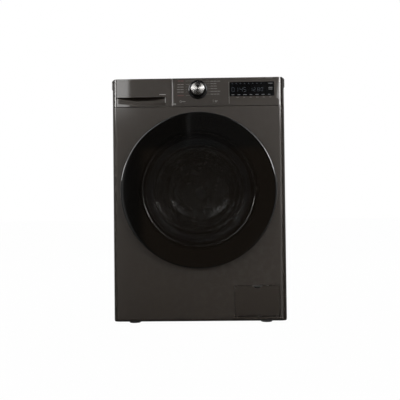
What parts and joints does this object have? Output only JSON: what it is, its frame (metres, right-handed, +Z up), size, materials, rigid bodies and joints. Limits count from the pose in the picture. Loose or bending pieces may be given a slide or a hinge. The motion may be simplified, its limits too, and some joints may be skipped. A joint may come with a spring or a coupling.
{
  "type": "front load washing machine",
  "caption": "Front-loading washing machine: dark bronze steel cabinet, round tinted door, hung tub and drum, dial, display and detergent drawer.",
  "frame": {"origin": "bottom centre of the overall box, on the floor", "axes": "+X to the right seen from the front, the door faces -Y, +Z up"},
  "size_m": [0.6, 0.627, 0.85],
  "materials": {
    "cabinet_paint": "dark bronze-grey coated steel sheet, satin metallic",
    "fascia": "dark bronze-grey moulded plastic, satin metallic",
    "galvanised_steel": "zinc-plated steel",
    "tinted_gloss": "near-black tinted clear cover, polished",
    "display_black": "black polished window",
    "black_plastic": "black moulded plastic",
    "spun_metal": "radially brushed metal cap on a black skirt",
    "white_plastic": "white moulded plastic",
    "blue_plastic": "blue moulded plastic",
    "grey_rubber": "grey moulded rubber",
    "tub_plastic": "light grey glass-filled plastic",
    "concrete": "cast concrete",
    "stainless": "stainless steel, brushed and perforated",
    "cast_aluminium": "die-cast aluminium",
    "rotor_steel": "dark coated steel",
    "copper_winding": "enamelled winding wire on a laminated core",
    "bowl_glass": "clear pressed glass"
  },
  "bodies": {
    "cabinet": {"base_tray": "black_plastic", "side_panel_left": "cabinet_paint", "side_panel_right": "cabinet_paint", "rear_panel": "cabinet_paint", "rear_cover": "cabinet_paint", "top_cover": "fascia", "front_panel": "cabinet_paint", "control_panel": "fascia", "front_crossbar": "galvanised_steel", "control_board": "black_plastic", "display_lens": "display_black", "dial_bezel": "black_plastic", "dispenser_housing": "white_plastic", "dispenser_hose": "grey_rubber", "inlet_valve": "white_plastic", "inlet_hoses": "grey_rubber", "drain_pump": "black_plastic", "tub_drain_hose": "grey_rubber", "drain_pipe": "grey_rubber", "door_lock": "black_plastic", "door_hinge_bracket": "galvanised_steel", "gasket": "grey_rubber", "gasket_clamp": "galvanised_steel", "suspension_springs": "galvanised_steel", "damper_cylinders": "black_plastic", "transit_bolt_caps": "black_plastic", "cord_gland": "black_plastic", "cabinet_screws": "galvanised_steel"},
    "tub": {"tub_front": "tub_plastic", "tub_rear": "tub_plastic", "tub_seal": "grey_rubber", "tub_screws": "galvanised_steel", "counterweights": "concrete", "heater": "galvanised_steel", "stator": "copper_winding", "bearings": "galvanised_steel", "damper_rods": "galvanised_steel"},
    "drum": {"drum_shell": "stainless", "drum_lifters": "tub_plastic", "drum_spider": "cast_aluminium", "rotor": "rotor_steel"},
    "door": {"door_cover": "tinted_gloss", "door_ring": "black_plastic", "door_inner_frame": "black_plastic", "door_bowl": "bowl_glass", "door_hinge_leaf": "galvanised_steel"},
    "latch_hook": {"door_latch_hook": "galvanised_steel"},
    "drawer": {"drawer_front": "fascia", "drawer_tray": "white_plastic", "softener_cap": "blue_plastic"},
    "dial": {"dial_knob": "spun_metal"},
    "power_key": {"power_button": "fascia"},
    "start_key": {"start_button": "fascia"},
    "access_cover": {"filter_cover": "fascia"},
    "pump_filter": {"drain_filter": "black_plastic"},
    "impeller": {"pump_impeller": "white_plastic"},
    "foot_front_left": {"front_foot_left": "black_plastic"},
    "foot_front_right": {"front_foot_right": "black_plastic"},
    "foot_rear_left": {"rear_foot_left": "black_plastic"},
    "foot_rear_right": {"rear_foot_right": "black_plastic"}
  },
  "joints": [
    {"name": "door_swing", "type": "hinge", "parent": "cabinet", "child": "door", "pos_m": [-0.25, -0.296, 0.46], "axis": [0, 0, -1], "range_deg": [0, 150]},
    {"name": "latch_pivot", "type": "hinge", "parent": "door", "child": "latch_hook", "pos_m": [0.204, -0.2815, 0.46], "axis": [0, 0, 1], "range_deg": [0, 8], "stiffness_Nm_per_rad": 0.6, "springref_deg": -5.73},
    {"name": "drawer_slide", "type": "slide", "parent": "cabinet", "child": "drawer", "axis": [0, -1, 0], "range_m": [0, 0.24]},
    {"name": "dial_turn", "type": "hinge", "parent": "cabinet", "child": "dial", "pos_m": [0, -0.2935, 0.808], "axis": [0, -1, 0], "continuous": true},
    {"name": "power_press", "type": "slide", "parent": "cabinet", "child": "power_key", "axis": [0, 1, 0], "range_m": [0, 0.0015], "stiffness_N_per_m": 1500, "springref_m": -0.0004},
    {"name": "start_press", "type": "slide", "parent": "cabinet", "child": "start_key", "axis": [0, 1, 0], "range_m": [0, 0.0015], "stiffness_N_per_m": 1500, "springref_m": -0.0004},
    {"name": "tub_bounce", "type": "slide", "parent": "cabinet", "child": "tub", "axis": [0, 0, 1], "range_m": [-0.012, 0.012], "stiffness_N_per_m": 9000, "springref_m": 0.03638, "deforming": ["suspension_springs", "dispenser_hose", "tub_drain_hose", "gasket"]},
    {"name": "drum_spin", "type": "hinge", "parent": "tub", "child": "drum", "pos_m": [0, 0, 0.46], "axis": [0, 1, 0], "continuous": true},
    {"name": "access_cover_swing", "type": "hinge", "parent": "cabinet", "child": "access_cover", "pos_m": [0.1965, -0.2605, 0.031], "axis": [1, 0, 0], "range_deg": [0, 85]},
    {"name": "pump_filter_turn", "type": "hinge", "parent": "cabinet", "child": "pump_filter", "pos_m": [0.1785, -0.2, 0.078], "axis": [0, 1, 0], "range_deg": [-120, 0]},
    {"name": "impeller_spin", "type": "hinge", "parent": "cabinet", "child": "impeller", "pos_m": [0.1785, -0.13, 0.078], "axis": [0, 1, 0], "continuous": true},
    {"name": "level_front_left", "type": "slide", "parent": "cabinet", "child": "foot_front_left", "axis": [0, 0, -1], "range_m": [0, 0.015]},
    {"name": "level_front_right", "type": "slide", "parent": "cabinet", "child": "foot_front_right", "axis": [0, 0, -1], "range_m": [0, 0.015]},
    {"name": "level_rear_left", "type": "slide", "parent": "cabinet", "child": "foot_rear_left", "axis": [0, 0, -1], "range_m": [0, 0.015]},
    {"name": "level_rear_right", "type": "slide", "parent": "cabinet", "child": "foot_rear_right", "axis": [0, 0, -1], "range_m": [0, 0.015]}
  ]
}
